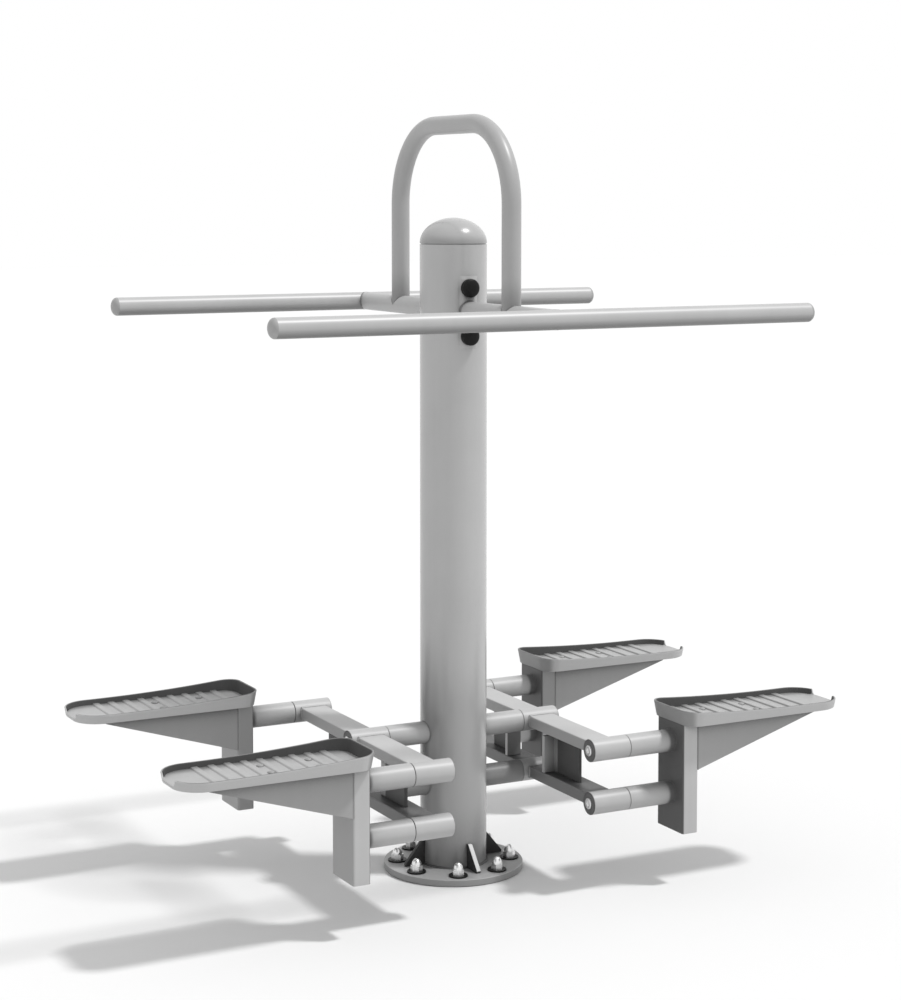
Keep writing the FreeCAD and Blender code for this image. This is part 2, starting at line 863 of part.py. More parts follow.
def tread_outline(body, height, inset):
    """The footplate's outline at a height, drawn in by an inset."""
    sketch = sketch_on(body, "XY_Plane", height)
    draw_rounded(
        sketch,
        (f"tread_toe + {inset}", f"-tread_half + {inset}"),
        (f"tread_heel - {inset}", f"tread_half - {inset}"),
        f"toe_corner - {inset}",
        f"heel_corner - {inset}",
    )
    return sketch


def footplate():
    """Tray with a drafted rim that falls towards the heel and is open there, and ribs across its floor."""
    body = new_body()
    foot = tread_outline(body, "tread_underside", "rim_draft")
    loft(body, "Additive", foot, tread_outline(body, "rim_top", "0"))
    floor = tread_outline(body, "floor_top", "floor_inset")
    loft(body, "Subtractive", floor, tread_outline(body, "rim_top", "rim_thickness"))
    fall = sketch_on(body, "XZ_Plane", "tread_width")
    beyond = "tread_heel + rim_thickness"
    draw_polygon(
        fall,
        [
            ("tread_toe", "rim_top"),
            ("tread_toe + rim_fall_length", "tread_underside + rim_heel_height"),
            (beyond, "tread_underside + rim_heel_height"),
            (beyond, "rim_top + rim_thickness"),
            ("tread_toe", "rim_top + rim_thickness"),
        ],
    )
    pocket(body, fall, "tread_width * 2")
    opening = sketch_on(body, "XY_Plane", "floor_top")
    draw_polygon(
        opening,
        [
            ("tread_heel - heel_corner", "-heel_gap / 2"),
            (beyond, "-heel_gap / 2"),
            (beyond, "heel_gap / 2"),
            ("tread_heel - heel_corner", "heel_gap / 2"),
        ],
    )
    pocket(body, opening, "rim_toe_height", upwards=True)
    rib = sketch_on(body, "XY_Plane", "floor_top")
    near = "tread_toe + rib_first - rib_width / 2"
    far = "tread_toe + rib_first + rib_width / 2"
    draw_polygon(rib, [(near, "-rib_half"), (far, "-rib_half"), (far, "rib_half"), (near, "rib_half")])
    first_rib = pad(body, rib, "rib_height")
    ribs = body.newObject("PartDesign::LinearPattern", "ribs")
    ribs.Originals = [first_rib]
    ribs.Direction = (origin_feature(body, "X_Axis"), [""])
    bind(ribs, "Length", "rib_pitch * (rib_count - 1)")
    bind(ribs, "Occurrences", "rib_count")
    finish(body, ribs)
    holes = sketch_on(body, "XY_Plane", "floor_top")
    draw_screw_holes(holes)
    pocket(body, holes, "tread_floor")
    return body


def footplate_screws():
    screws = []
    for x in ("toe_screws", "heel_screws"):
        for way in (-1, 1):
            y = f"{way} * screw_spread / 2"
            tip = "tread_underside - gusset_sheet - screw_tail"
            shank = cylinder("z", (x, y, tip), "screw_diameter / 2", f"floor_top - ({tip})")
            head = dome("z", (x, y, "floor_top"), "screw_head_diameter / 2", "screw_head_height")
            screws.append(fuse(shank, head))
    return group(screws)


def pivot_stubs():
    return group(
        [
            tube("x", ("stub_start", "0", height), "pivot_tube_radius", "shank_radius", "stub_length")
            for height in LEVELS.values()
        ]
    )


def pivot_bolts():
    return group(
        [
            shoulder_bolt("-x", "rocker_inner - running_gap", "stub_start + bolt_grip", "0", height)
            for height in LEVELS.values()
        ]
    )


def pedal(side, end):
    for name, item in (
        ("bracket", bracket()),
        ("gusset", gusset()),
        ("footplate", footplate()),
        ("footplate_screws", footplate_screws()),
        ("pivot_stubs", pivot_stubs()),
        ("pivot_bolts", pivot_bolts()),
    ):
        seat(item, side, end)
        keep(f"{side}_{end}_{name}", item)


post_tube()
post_cap()
base_flange()
base_gussets()
anchor_hardware()
handlebars()
bar_arms()
clamp_hardware()
u_handle()
cross_sleeves()
for side in HALF_TURN:
    rockers(side)
    for end in PEDAL_PLACE:
        pedal(side, end)

doc.recompute()
failed = [item.Label for item in doc.Objects if {"Invalid", "Error"} & set(item.State)]
failed += [item.Label for item in pieces if item.Shape.isNull() or not item.Shape.isValid()]
if failed:
    raise SystemExit(f"These didn't build: {failed}")
os.makedirs("parts", exist_ok=True)
for item in pieces:
    item.Shape.exportStep(f"parts/{item.Label}.step")
print(len(pieces), "pieces written")
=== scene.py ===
import json
import math

import bmesh
import bpy
from mathutils import Matrix, Vector


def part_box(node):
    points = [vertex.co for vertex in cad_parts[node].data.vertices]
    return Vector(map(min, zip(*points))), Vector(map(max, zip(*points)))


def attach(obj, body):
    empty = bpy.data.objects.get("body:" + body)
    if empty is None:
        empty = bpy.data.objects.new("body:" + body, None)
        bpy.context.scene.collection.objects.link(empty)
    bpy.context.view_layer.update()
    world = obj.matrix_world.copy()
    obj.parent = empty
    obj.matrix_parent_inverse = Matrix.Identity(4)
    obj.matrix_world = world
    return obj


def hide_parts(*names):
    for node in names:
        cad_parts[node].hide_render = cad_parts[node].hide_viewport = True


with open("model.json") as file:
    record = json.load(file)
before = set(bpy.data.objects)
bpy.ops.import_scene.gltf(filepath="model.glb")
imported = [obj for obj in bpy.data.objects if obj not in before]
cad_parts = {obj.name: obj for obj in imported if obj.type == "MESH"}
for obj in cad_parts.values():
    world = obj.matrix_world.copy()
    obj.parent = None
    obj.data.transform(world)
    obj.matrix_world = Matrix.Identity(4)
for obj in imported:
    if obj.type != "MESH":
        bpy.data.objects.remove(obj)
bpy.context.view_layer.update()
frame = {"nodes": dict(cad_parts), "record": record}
nodes = frame["nodes"]
scene = bpy.context.scene

MM = 0.001
SIDES = {"left": 180, "right": 0}  # how far each linkage is turned from the right one, in degrees
ENDS = {"front": -1, "rear": 1}
LEVELS = ("upper", "lower")
PIVOT_REACH = 238.5 * MM
BRACKET_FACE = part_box("right_front_bracket")[0].x
TREAD_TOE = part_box("right_front_footplate")[0].x


# Node graphs


class Signal:
    """An output socket. Arithmetic on it adds Math nodes."""

    def __init__(self, graph, socket):
        self.graph = graph
        self.socket = socket

    def combine(self, operation, first, second):
        return self.graph.node("ShaderNodeMath", {"operation": operation}, {0: first, 1: second})

    def __add__(self, other):
        return self.combine("ADD", self, other)

    __radd__ = __add__

    def __sub__(self, other):
        return self.combine("SUBTRACT", self, other)

    def __rsub__(self, other):
        return self.combine("SUBTRACT", other, self)

    def __mul__(self, other):
        return self.combine("MULTIPLY", self, other)

    def __pow__(self, other):
        return self.combine("POWER", self, other)

    def __abs__(self):
        return self.graph.node("ShaderNodeMath", {"operation": "ABSOLUTE"}, {0: self})


class Graph:
    """The nodes of a material or of the world."""

    def __init__(self, owner):
        owner.use_nodes = True
        self.owner = owner
        self.tree = owner.node_tree
        self.tree.nodes.clear()

    def node(self, kind, settings=None, sockets=None, output=0):
        """Add a node: its settings first, then the values or links of its sockets.

        Gives one output, or the node itself if it has none."""
        made = self.tree.nodes.new(kind)
        for name, value in (settings or {}).items():
            setattr(made, name, value)
        for name, value in (sockets or {}).items():
            if isinstance(value, Signal):
                self.tree.links.new(value.socket, made.inputs[name])
            else:
                made.inputs[name].default_value = value
        return Signal(self, made.outputs[output]) if made.outputs else made

    def shown(self):
        """1 where a camera, glossy or transmission ray looks, 0 for light on the object."""
        kinds = ("Camera", "Glossy", "Transmission")
        seen = [self.node("ShaderNodeLightPath", output=f"Is {kind} Ray") for kind in kinds]
        return seen[0] + seen[1] + seen[2]


class Finish(Graph):
    """The nodes of a piece's material. Its patterns follow places on the object, in metres."""

    CORNER_SAMPLES = 8
    OPEN_FACE = 0.95
    DEEP_CORNER = 0.25

    def __init__(self, name):
        super().__init__(bpy.data.materials.new(name))
        self.place = self.node("ShaderNodeTexCoord", output="Object")

    def component(self, vector, axis):
        return self.node("ShaderNodeSeparateXYZ", sockets={"Vector": vector}, output=axis)

    def along(self, axis):
        """How far a place lies along an axis."""
        return self.component(self.place, axis)

    def facing(self, axis):
        """How far a face looks along an axis, from -1 to 1."""
        return self.component(self.node("ShaderNodeNewGeometry", output="Normal"), axis)

    def step(self, value, start, end, high=1.0):
        """A soft step from 0 to high as the value goes from start to end."""
        settings = {"interpolation_type": "SMOOTHSTEP"}
        sockets = {"Value": value, "From Min": start, "From Max": end, "To Min": 0.0}
        return self.node("ShaderNodeMapRange", settings, {**sockets, "To Max": high})

    def noise(self, scale, detail, place=None):
        """A soft random pattern, with about as many features to the metre as its scale."""
        sockets = {"Vector": place or self.place, "Scale": scale, "Detail": detail}
        return self.node("ShaderNodeTexNoise", sockets=sockets)

    def tint(self, share, first, second):
        """A colour between two others."""
        sockets = {0: share, 6: first, 7: second}
        return self.node("ShaderNodeMix", {"data_type": "RGBA"}, sockets, output=2)

    def bump(self, height, strength, depth):
        sockets = {"Strength": strength, "Distance": depth, "Height": height}
        return self.node("ShaderNodeBump", sockets=sockets, output="Normal")

    def corner_shade(self, reach, strength):
        """How much painted shade a corner gets, from 0 on open faces."""
        settings = {"samples": self.CORNER_SAMPLES}
        sockets = {"Distance": reach}
        openness = self.node("ShaderNodeAmbientOcclusion", settings, sockets, output="AO")
        return self.step(openness, self.OPEN_FACE, self.DEEP_CORNER, strength)

    def surface(self, **sockets):
        """Close the graph with a shader whose sockets are named with underscores."""
        named = {name.replace("_", " "): value for name, value in sockets.items()}
        shader = self.node("ShaderNodeBsdfPrincipled", sockets=named)
        self.node("ShaderNodeOutputMaterial", sockets={"Surface": shader})
        return self.owner


def grey(level):
    return (level, level, level, 1.0)


# Regions of painted shade, which a finish darkens where a part lies in shade: 1 inside and 0
# outside. Each pair here is where a region's edge starts and where the region is full, in metres
# from the origin unless its comment says otherwise

POST_FOOT_SHADE_EDGE = (0.065, 0.03)
POST_FOOT_SHADE_STRENGTH = 0.85
BETWEEN_FOOT = (0.06, 0.13)
BETWEEN_TOP = (0.36, 0.28)
BESIDE_FOOT = (0.06, 0.1)
BESIDE_TOP = (0.43, 0.26)
CAP_FOOT = (1.094, 1.078)
LEG_FOOT = (1.03, 0.98)
ROOT_ON_STUB = (-0.016, -0.009)  # outwards from the bracket's inner face
ROOT_IN_BRACKET = (0.006, 0.003)  # the same
WEB_EDGE = (0.0060, 0.0064)  # square of the distance from the post's middle
INNER_EDGE = (-0.1, -0.2)  # distance along X times the share of the face's look along X
MIDDLE_EDGE = (-0.03, -0.06)  # the same along Y
UPRIGHT_EDGE = (0.2, 0.05)  # square of the share of the face's look along Z
UNDERSIDE_EDGE = (-0.05, -0.8)  # share of the face's look along Z
SIDE_EDGE = (0.4, 0.8)  # square of the share of the face's look along X
SLOPE_EDGE = (0.15, 0.25)  # the same


def upright_faces(finish):
    return finish.step(finish.facing("Z") ** 2, *UPRIGHT_EDGE)


def undersides(finish):
    return finish.step(finish.facing("Z"), *UNDERSIDE_EDGE)


def side_faces(finish):
    return finish.step(finish.facing("X") ** 2, *SIDE_EDGE)


def sloped_sides(finish):
    return finish.step(finish.facing("X") ** 2, *SLOPE_EDGE)


def inner_faces(finish):
    """Faces that look in towards the post."""
    return finish.step(finish.along("X") * finish.facing("X"), *INNER_EDGE)


def middle_faces(finish):
    """Faces that look to the middle of the linkage, across the post."""
    return finish.step(finish.along("Y") * finish.facing("Y"), *MIDDLE_EDGE)


def stub_roots(finish):
    """The end of a pivot stub and the bead round it, in the corner with the bracket."""
    from_bracket = abs(finish.along("X")) - BRACKET_FACE
    return finish.step(from_bracket, *ROOT_ON_STUB) * finish.step(from_bracket, *ROOT_IN_BRACKET)


def stop_webs(finish):
    """The part of a stop that lies out along the rocker arm, beyond its cross plate."""
    return finish.step(finish.along("Y") ** 2, *WEB_EDGE)


def shaded_post_foot(finish):
    """The post just above the flange, where it gets painted shade."""
    return finish.step(finish.along("Z"), *POST_FOOT_SHADE_EDGE, POST_FOOT_SHADE_STRENGTH)


def between_linkages(finish):
    """The post all round, as high as the linkages."""
    height = finish.along("Z")
    return finish.step(height, *BETWEEN_FOOT) * finish.step(height, *BETWEEN_TOP)


def beside_linkages(finish):
    """The post's left and right faces, which look at the linkages."""
    height = finish.along("Z")
    beside = finish.step(height, *BESIDE_FOOT) * finish.step(height, *BESIDE_TOP)
    return beside * side_faces(finish)


def cap_foot(finish):
    return finish.step(finish.along("Z"), *CAP_FOOT)


def leg_feet(finish):
    """The ends of the U handle's legs, just above the arms."""
    return finish.step(finish.along("Z"), *LEG_FOOT)


# Finishes. Tones are shares of a finish's level, and a pair of tones is the darkest and the palest

EVEN = 0.5  # the middle of a noise's range
COAT_TONES = (0.84, 1.16)
COAT_CORNER_SHADE_TONE = 0.12
COAT_METALLIC = 0.05
COAT_ROUGHNESS = 0.45
COAT_ROUGHNESS_SPREAD = 0.12
COAT_SPECULAR = 0.32
STREAK_STRETCH = (60.0, 60.0, 3.0)
CLOUD_SHARE, FLAKE_SHARE, STREAK_SHARE = 0.5, 0.3, 0.2
# How far a corner reaches and how dark its painted shade gets
CORNER_SHADING = [(0.12, 0.9)]
DEEP_CORNER_SHADING = [(0.12, 0.9), (0.3, 0.5)]
THIN_CORNER_SHADING = [(0.03, 0.6)]

SAND_TONES = (0.9, 1.06)
TREAD_INNER_TONE = 0.3
TREAD_INNER_SHARE = 0.6
TOP_SHADE_TONE = 0.75
TOP_SHADE_LEAST = 0.5
RIM_CROWN_SHADE_LEAST = 0.4
SHADE_MOTTLE_SHARE = 0.6
RIM_CROWN_SHADE_TONE = 0.28
TREAD_CORNER_SHADE_TONE = 0.25
TREAD_CORNER_SHADING = (0.05, 0.85)
TREAD_ROUGHNESS = 0.5
TREAD_POLISH = 0.1
FLAT_TOP = (0.6, 0.95)  # share of the face's look along Z
ROUND_TOP = (0.25, 0.7)  # the same
LONG_RIM_EDGE = (0.03, 0.062)  # from the footplate's middle line
TOE_RIM_EDGE = (0.008, 0.005)  # from the toe

ZINC_LEVELS = (0.74, 0.92)
ZINC_ROUGHNESS = 0.2
SPANGLE_ROUGHNESS = 0.12
HAZE_ROUGHNESS = 0.1
SPANGLE_SCALE = 700.0

PLASTIC_SPECULAR = 0.5
DUST_EDGE = (0.5, 0.8)
DUST_SHARE = 0.5
DUST_TONE = 1.3
DUST_LEVEL = 0.006
DUST_ROUGHNESS = 0.1
PLASTIC_GRAIN = {"grain_scale": 1500.0, "grain_depth": 0.0003}
RUBBER_GRAIN = {"grain_scale": 900.0, "grain_depth": 0.0006}


def powder_coat(
    name, level, shade_in_corners=CORNER_SHADING, darker=(), roughness=COAT_ROUGHNESS, specular=COAT_SPECULAR
):
    """Satin powder coat: fine flakes, faint orange peel, slow clouds, rain streaks, painted shade.

    Each pair for the corners is how far a corner reaches and how dark its painted shade gets.
    Each pair in darker is a region of painted shade and its level."""
    finish = Finish(name)
    peel = finish.noise(scale=420.0, detail=2.0)
    flakes = finish.noise(scale=2600.0, detail=1.0)
    clouds = finish.noise(scale=9.0, detail=4.0)
    stretch = {"Vector": finish.place, "Scale": STREAK_STRETCH}
    stretched = finish.node("ShaderNodeMapping", sockets=stretch)
    streaks = finish.noise(scale=1.0, detail=3.0, place=stretched)
    mottle = clouds * CLOUD_SHARE + flakes * FLAKE_SHARE + streaks * STREAK_SHARE
    coat = finish.tint(mottle, *[grey(level * tone) for tone in COAT_TONES])
    # Painted shade in corners
    for reach, strength in shade_in_corners:
        coat = finish.tint(finish.corner_shade(reach, strength), coat, grey(level * COAT_CORNER_SHADE_TONE))
    # Painted shade on regions that lie in shade
    for region, region_level in darker:
        coat = finish.tint(region(finish), coat, grey(region_level))
    return finish.surface(
        Base_Color=coat,
        Metallic=COAT_METALLIC,
        Roughness=roughness + (mottle - EVEN) * COAT_ROUGHNESS_SPREAD,
        Specular_IOR_Level=specular,
        Normal=finish.bump(peel, strength=0.1, depth=0.0004),
    )


def cast_tread(name, level):
    """Coated casting with a fine sand texture and tops polished where trodden.

    Painted shade darkens its up-facing faces, the rims' rounded tops, faces that look in
    towards the post, and its corners.
    """
    finish = Finish(name)
    sand = finish.noise(scale=900.0, detail=3.0)
    scuff_and_shade_mottle = finish.noise(scale=55.0, detail=5.0)
    top = finish.step(finish.facing("Z"), *FLAT_TOP)
    crown = finish.step(finish.facing("Z"), *ROUND_TOP)
    long_rims = finish.step(abs(abs(finish.along("Y")) - PIVOT_REACH), *LONG_RIM_EDGE)
    toe_rim = finish.step(abs(finish.along("X")) - TREAD_TOE, *TOE_RIM_EDGE)
    rims = long_rims + toe_rim - long_rims * toe_rim
    layers = [
        # Painted shade on faces that look in towards the post
        (inner_faces(finish) * TREAD_INNER_SHARE, TREAD_INNER_TONE),
        # Painted shade on up-facing faces, mottled
        (top * (TOP_SHADE_LEAST + scuff_and_shade_mottle * SHADE_MOTTLE_SHARE), TOP_SHADE_TONE),
        # Painted shade on the rims' rounded tops
        (rims * crown * (RIM_CROWN_SHADE_LEAST + scuff_and_shade_mottle * SHADE_MOTTLE_SHARE), RIM_CROWN_SHADE_TONE),
        # Painted shade in corners
        (finish.corner_shade(*TREAD_CORNER_SHADING), TREAD_CORNER_SHADE_TONE),
    ]
    coat = finish.tint(sand, *[grey(level * tone) for tone in SAND_TONES])
    for share, tone in layers:
        coat = finish.tint(share, coat, grey(level * tone))
    return finish.surface(
        Base_Color=coat,
        Metallic=COAT_METALLIC,
        Roughness=TREAD_ROUGHNESS - top * scuff_and_shade_mottle * TREAD_POLISH,
        Specular_IOR_Level=COAT_SPECULAR,
        Normal=finish.bump(sand, strength=0.12, depth=0.0006),
    )


def zinc_plate(name):
    """Bright plating with a faint spangle."""
    finish = Finish(name)
    cells = {"Vector": finish.place, "Scale": SPANGLE_SCALE}
    spangle = finish.node("ShaderNodeTexVoronoi", sockets=cells, output="Distance")
    haze = finish.noise(scale=160.0, detail=3.0)
    return finish.surface(
        Base_Color=finish.tint(haze, *[grey(level) for level in ZINC_LEVELS]),
        Metallic=1.0,
        Roughness=ZINC_ROUGHNESS + spangle * SPANGLE_ROUGHNESS + haze * HAZE_ROUGHNESS,
        Normal=finish.bump(haze, strength=0.08, depth=0.0003),
    )


def moulded(name, level, roughness, grain_scale, grain_depth, specular=PLASTIC_SPECULAR):
    """Plastic or rubber with a moulded grain and a little dust."""
    finish = Finish(name)
    grain = finish.noise(grain_scale, detail=2.0)
    dust = finish.step(finish.noise(scale=35.0, detail=5.0), *DUST_EDGE)
    dusty = grey(level * DUST_TONE + DUST_LEVEL)
    return finish.surface(
        Base_Color=finish.tint(dust * DUST_SHARE, grey(level), dusty),
        Roughness=roughness + dust * DUST_ROUGHNESS,
        Specular_IOR_Level=specular,
        Normal=finish.bump(grain, strength=0.15, depth=grain_depth),
    )


# What each slot wears, and the coats of nodes whose names end as given. The flange and its bead
# have coats of their own, so the dark paint's slot needs none

FINISHES = {
    "grey_paint": powder_coat("grey_paint", 0.53),
    "zinc_steel": zinc_plate("zinc_steel"),
    "black_plastic": moulded("black_plastic", 0.012, 0.35, **PLASTIC_GRAIN, specular=0.12),
    "grey_plastic": moulded("grey_plastic", 0.4, 0.45, **PLASTIC_GRAIN),
    "bush_nylon": moulded("bush_nylon", 0.12, 0.5, **PLASTIC_GRAIN),
    "tread_alloy": cast_tread("tread_alloy", 0.57),
    "rubber": moulded("rubber", 0.06, 0.65, **RUBBER_GRAIN),
}
# Painted shade: each pair below is a region and the darker level painted on it
POST_CORNER_SHADING = [(0.05, 0.95), (0.3, 0.65)]
POST_SHADE = [(between_linkages, 0.45), (beside_linkages, 0.3), (shaded_post_foot, 0.25)]
HANDLE_SHADE = [(leg_feet, 0.3)]
BAR_SHADE = [(undersides, 0.25)]
CAP_SHADE = [(cap_foot, 0.36)]
FOOT_SHADE = [(sloped_sides, 0.06), (upright_faces, 0.035)]
FLANGE_SHADE = [(upright_faces, 0.35)]
STUB_SHADE = [(stub_roots, 0.14)]
STOP_SHADE = [(middle_faces, 0.2), (stop_webs, 0.09)]
BRACKET_SHADE = [(side_faces, 0.42), (middle_faces, 0.36), (inner_faces, 0.12)]
UPPER_ARM_SHADE = [(side_faces, 0.4)]
LOWER_ARM_SHADE = [(side_faces, 0.2)]
SHADED = {
    "post_tube": powder_coat(
        "post_paint", 0.53, POST_CORNER_SHADING, POST_SHADE, roughness=0.24, specular=0.5
    ),
    # A darker copy of the paint: painted shade on the handle
    "u_handle": powder_coat(
        "handle_paint", 0.45, CORNER_SHADING, HANDLE_SHADE, roughness=0.38, specular=0.45
    ),
    "_handlebar": powder_coat(
        "bar_paint", 0.52, CORNER_SHADING, BAR_SHADE, roughness=0.4, specular=0.42
    ),
    # A darker copy of the paint: painted shade on the cap
    "post_cap": powder_coat(
        "cap_paint", 0.49, CORNER_SHADING, CAP_SHADE, roughness=0.24, specular=0.45
    ),
    # Pale level: painted highlight on the gussets' sloped edges; painted shade on their sides
    "base_gussets": powder_coat("foot_paint", 0.75, [(0.02, 0.5)], FOOT_SHADE),
    "base_flange": powder_coat("flange_paint", 0.47, [(0.04, 0.6)], FLANGE_SHADE),
    "_pivot_stubs": powder_coat("stub_paint", 0.53, CORNER_SHADING, STUB_SHADE),
    "_stops": powder_coat("stop_paint", 0.5, [(0.04, 0.8)], STOP_SHADE),
    # A paler copy of the paint, with painted shade on the side, middle and inner faces
    "_bracket": powder_coat("bracket_paint", 0.57, CORNER_SHADING, BRACKET_SHADE),
    "_upper_arms": powder_coat("upper_arm_paint", 0.53, CORNER_SHADING, UPPER_ARM_SHADE),
    # Darker copies of the paint on the lower arms, lower sleeve and box gussets: painted shade
    "_lower_arms": powder_coat("lower_arm_paint", 0.27, DEEP_CORNER_SHADING, LOWER_ARM_SHADE),
    "lower_cross_sleeve": powder_coat("lower_sleeve_paint", 0.3),
    "_gusset": powder_coat("box_paint", 0.42, DEEP_CORNER_SHADING),
    "_footplate_screws": powder_coat("screw_coat", 0.36, THIN_CORNER_SHADING),
}
# Weld beads in darker copies of the paint: painted shade in the corners where they lie
PEDAL_WELD = powder_coat("pedal_weld", 0.3, CORNER_SHADING, STUB_SHADE)
STAND_WELD = powder_coat("stand_weld", 0.24, [(0.05, 0.9)])
BASE_WELD = powder_coat("shaded_weld", 0.12, THIN_CORNER_SHADING)

for part in frame["record"]["subparts"]:
    node = part["node"]
    mesh = nodes[node].data
    mesh.materials.clear()
    coats = [coat for ending, coat in SHADED.items() if node.endswith(ending)]
    mesh.materials.append(coats[0] if coats else FINISHES[part["material_slot"]])


# Rounded edges on the plates, the box tubes and the tube ends

SPLIT_CORNER = 0.00001
EDGE_SEGMENTS = 2
EDGE_ANGLE = math.radians(40)
EDGE_WIDTHS = {  # in millimetres, for nodes whose names end as given
    "_stops": 1.0,
    "_pivot_tubes": 1.4,
    "_bracket": 1.2,
    "_gusset": 0.8,
    "_pivot_stubs": 1.4,
    "_cross_sleeve": 0.8,
    "base_flange": 1.5,
    "base_gussets": 1.2,
}


def soften(item, width):
    """Round a node's edges: close its split corners, bevel them and even out its normals."""
    weld = item.modifiers.new("closed corners", "WELD")
    weld.merge_threshold = SPLIT_CORNER
    bevel = item.modifiers.new("rounded edges", "BEVEL")
    bevel.width = width
    bevel.segments = EDGE_SEGMENTS
    bevel.limit_method = "ANGLE"
    bevel.angle_limit = EDGE_ANGLE
    even = item.modifiers.new("even normals", "WEIGHTED_NORMAL")
    even.keep_sharp = False


for node, item in nodes.items():
    for ending, width in EDGE_WIDTHS.items():
        if node.endswith(ending):
            soften(item, width * MM)


# Pieces made here

MERGE_DISTANCE = 0.000002
CREASE_ANGLE = math.radians(45)


def add_piece(name, bm, body, slot, replaced=None, coat=None):
    """Turn a bmesh into a piece that rides on a body, in its slot's finish or in its own coat."""
    bmesh.ops.remove_doubles(bm, verts=bm.verts, dist=MERGE_DISTANCE)
    bmesh.ops.dissolve_degenerate(bm, edges=bm.edges, dist=MERGE_DISTANCE)
    bmesh.ops.recalc_face_normals(bm, faces=bm.faces)
    for face in bm.faces:
        face.smooth = True
    for edge in bm.edges:
        edge.smooth = edge.calc_face_angle(math.pi) < CREASE_ANGLE
    mesh = bpy.data.meshes.new(name)
    bm.to_mesh(mesh)
    bm.free()
    mesh.materials.append(coat or FINISHES[slot])
    item = bpy.data.objects.new(name, mesh)
    scene.collection.objects.link(item)
    even = item.modifiers.new("even normals", "WEIGHTED_NORMAL")
    even.keep_sharp = True
    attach(item, body)
    if replaced:
        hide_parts(replaced)


def skin(bm, rings, closed):
    """Quads between neighbouring rings of points. Open rows of rings get end faces."""
    rows = [[bm.verts.new(place) for place in ring] for ring in rings]
    pairs = list(zip(rows, rows[1:]))
    if closed:
        pairs.append((rows[-1], rows[0]))
    for here, after in pairs:
        for index in range(len(here)):
            before = index - 1
            bm.faces.new((here[before], here[index], after[index], after[before]))
    if not closed:
        bm.faces.new(rows[0])
        bm.faces.new(list(reversed(rows[-1])))


def ease(share):
    """A share from 0 to 1 that starts and ends softly."""
    return share * share * (3 - 2 * share)


# Footplates, drawn in millimetres for the right side: X from the toe, Z from the underside up

TREAD_LENGTH = 329.0
TREAD_HALF = 66.0
TREAD_FLOOR = 6.0
TOE_CORNER = 32.0
HEEL_CORNER = 50.0
HEEL_STEPS = 2
HEEL_CORNER_STEPS = 24
SIDE_STEPS = 12
TOE_CORNER_STEPS = 12
TOE_STEPS = 4
RIM_THICKNESS = 3.0
RIM_DRAFT = 5.0
RIM_TOE = 26.5
RIM_HEEL = 15.2
RIM_FALL = 263.0
RIM_EDGE = 1.2
RIM_FILLET = 2.0
RIM_STEPS = 8
ROUND_SHARE = 0.3  # where a rounding's middle lies, as a share of its radius
HEEL_GAP_HALF = 27.0
HEEL_RAMP = 5.0
RIB_FIRST = 44.0
RIB_PITCH = 27.0
RIB_COUNT = 9
RIB_HALF = 60.5
RIB_FLANK = [(-7.2, -0.6), (-6.5, 0.3), (-5.8, 1.5), (-5.0, 2.2), (-3.8, 2.5)]
DARK_STRIP_THICKNESS = 2.0
DARK_STRIP_SHARE = 0.97
DARK_STRIP_LEAST = 4.0
DARK_STRIP_SINK = 0.4
DARK_STRIP_FOOT = 0.3
DARK_STRIP_LIP = [(0.0, 0.3), (0.8, 0.0), (DARK_STRIP_THICKNESS - 0.5, 0.2), (DARK_STRIP_THICKNESS, 1.0)]


def corner_stations(x, y, radius, start, steps):
    """Places and outward directions round a quarter circle, from a start in quarter turns."""
    stations = []
    for part in range(steps + 1):
        angle = math.pi / 2 * (start + part / steps)
        out = (math.cos(angle), math.sin(angle))
        stations.append(((x + radius * out[0], y + radius * out[1]), out))
    return stations


def half_outline():
    """Places and outward directions along half of the outline, from the heel to the toe."""
    heel_middle = TREAD_HALF - HEEL_CORNER
    toe_middle = TREAD_HALF - TOE_CORNER
    heel_start = TREAD_LENGTH - HEEL_CORNER
    run = heel_start - TOE_CORNER
    stations = []
    for part in range(HEEL_STEPS):
        stations.append(((TREAD_LENGTH, heel_middle * part / HEEL_STEPS), (1.0, 0.0)))
    stations += corner_stations(heel_start, heel_middle, HEEL_CORNER, 0, HEEL_CORNER_STEPS)
    for part in range(1, SIDE_STEPS):
        stations.append(((heel_start - run * part / SIDE_STEPS, TREAD_HALF), (0.0, 1.0)))
    stations += corner_stations(TOE_CORNER, toe_middle, TOE_CORNER, 1, TOE_CORNER_STEPS)
    for part in range(1, TOE_STEPS):
        stations.append(((0.0, toe_middle * (1 - part / TOE_STEPS)), (-1.0, 0.0)))
    return stations


def tread_outline():
    near = half_outline()
    far = [((x, -y), (out_x, -out_y)) for (x, y), (out_x, out_y) in reversed(near[1:])]
    return near + [((0.0, 0.0), (-1.0, 0.0))] + far


def rim_height(x, y):
    """Height of the rim's top. It falls from the toe, levels out and stops at the heel's gap."""
    height = RIM_HEEL + (RIM_TOE - RIM_HEEL) * max(1 - x / RIM_FALL, 0.0) ** 2
    if x > TREAD_LENGTH - HEEL_CORNER:
        share = min(max((abs(y) - HEEL_GAP_HALF) / HEEL_RAMP, 0.0), 1.0)
        height = TREAD_FLOOR + (height - TREAD_FLOOR) * ease(share)
    return height


def draft(height):
    """How far the outside of the rim lies in from the outline at a height."""
    return RIM_DRAFT * (1 - height / RIM_TOE)


